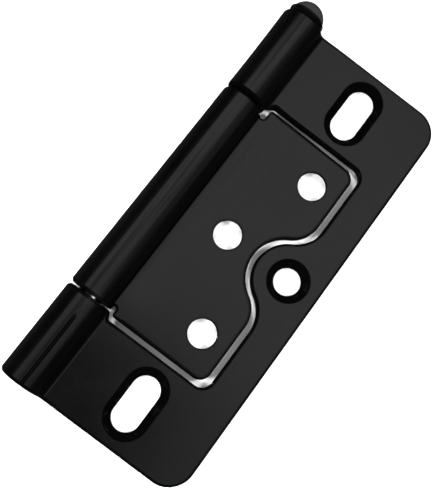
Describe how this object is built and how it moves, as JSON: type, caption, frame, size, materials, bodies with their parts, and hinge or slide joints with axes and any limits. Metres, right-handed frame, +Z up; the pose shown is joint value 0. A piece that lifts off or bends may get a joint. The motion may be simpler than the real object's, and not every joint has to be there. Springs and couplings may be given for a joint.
{
  "type": "door hinge",
  "caption": "Flush door hinge: the inner leaf nests in a window of the outer leaf and swings about a dome-headed pin.",
  "frame": {"origin": "bottom centre of the closed hinge's bounding box, on the surface that it lies on", "axes": "+Y along the pin to its head, +X from the pin to the outer leaf's free edge, +Z up, the side with the outer leaf's countersinks"},
  "size_m": [0.0396, 0.0936, 0.0092],
  "materials": {
    "leaf_coat": "matte black powder coat on steel sheet",
    "pin_finish": "black coated dome head on a bare satin steel shank"
  },
  "bodies": {
    "frame_side": {"outer_leaf": "leaf_coat", "hinge_pin": "pin_finish"},
    "door_side": {"inner_leaf": "leaf_coat"}
  },
  "joints": [
    {"name": "leaf_swing", "type": "hinge", "parent": "frame_side", "child": "door_side", "pos_m": [-0.0152, 0, 0.0046], "axis": [0, -1, 0], "range_deg": [0, 180]}
  ]
}
